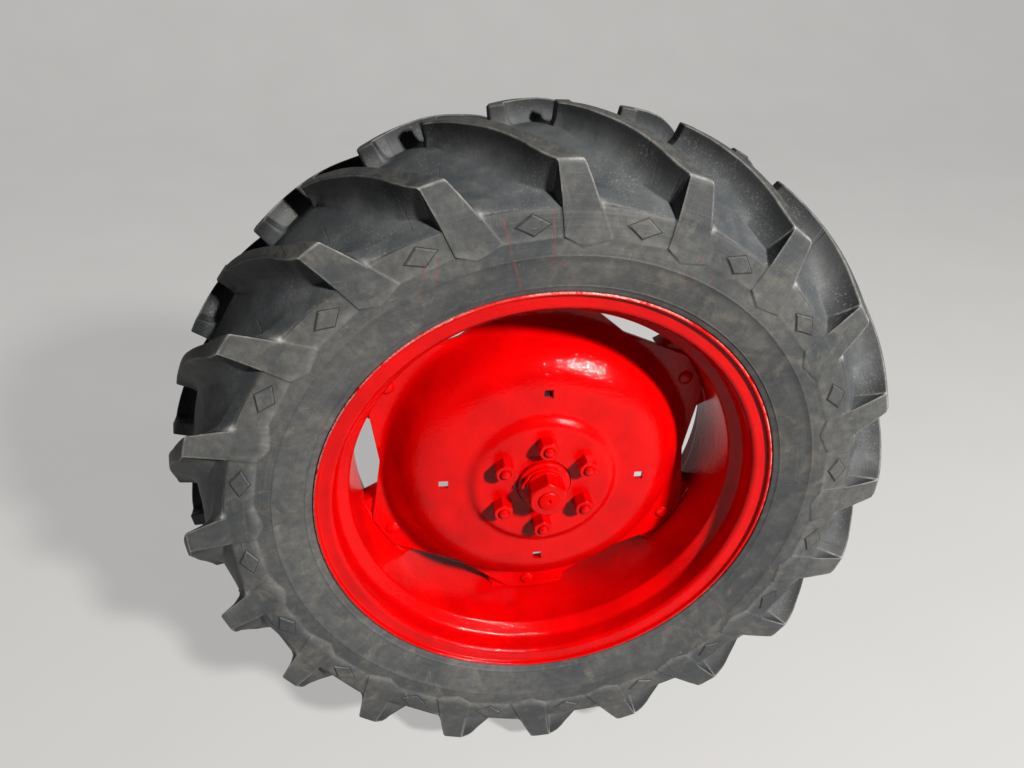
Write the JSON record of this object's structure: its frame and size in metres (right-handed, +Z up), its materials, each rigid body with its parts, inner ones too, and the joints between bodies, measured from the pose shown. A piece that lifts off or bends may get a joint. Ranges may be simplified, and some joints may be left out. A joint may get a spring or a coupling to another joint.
{
  "type": "tractor rear wheel",
  "caption": "Tractor rear wheel with a chevron-lugged tyre on a drop-centre rim, a dished bolt-on disc, its hub and half shaft, turning on a short axle housing end with a bolt flange.",
  "frame": {"origin": "centre of the axle housing's inboard bolt face, on the axle", "axes": "+Z up, +Y along the axle inboard to the tractor, +X to the tractor's rear; the wheel's outer side faces -Y"},
  "size_m": [1.2278, 0.521, 1.2278],
  "materials": {
    "tyre": "weathered dark grey rubber, dusty brown in the grooves",
    "red_paint": "thick glossy red paint with orange peel, worn pale along the rim's lip",
    "housing_paint": "glossy red paint on rough casting",
    "shaft_steel": "machined steel",
    "bolt_steel": "painted over in red"
  },
  "bodies": {
    "axle": {"axle_housing": "housing_paint", "bearing_retainer": "housing_paint", "retainer_bolts": "bolt_steel"},
    "wheel": {"tyre": "tyre", "rim": "red_paint", "rim_loops": "red_paint", "wheel_disc": "red_paint", "loop_nuts": "red_paint", "hub": "red_paint", "wheel_nuts": "red_paint", "half_shaft": "shaft_steel", "axle_nut": "red_paint"}
  },
  "joints": [
    {"name": "wheel_spin", "type": "hinge", "parent": "axle", "child": "wheel", "pos_m": [0, -0.3, 0], "axis": [0, 1, 0], "continuous": true}
  ]
}
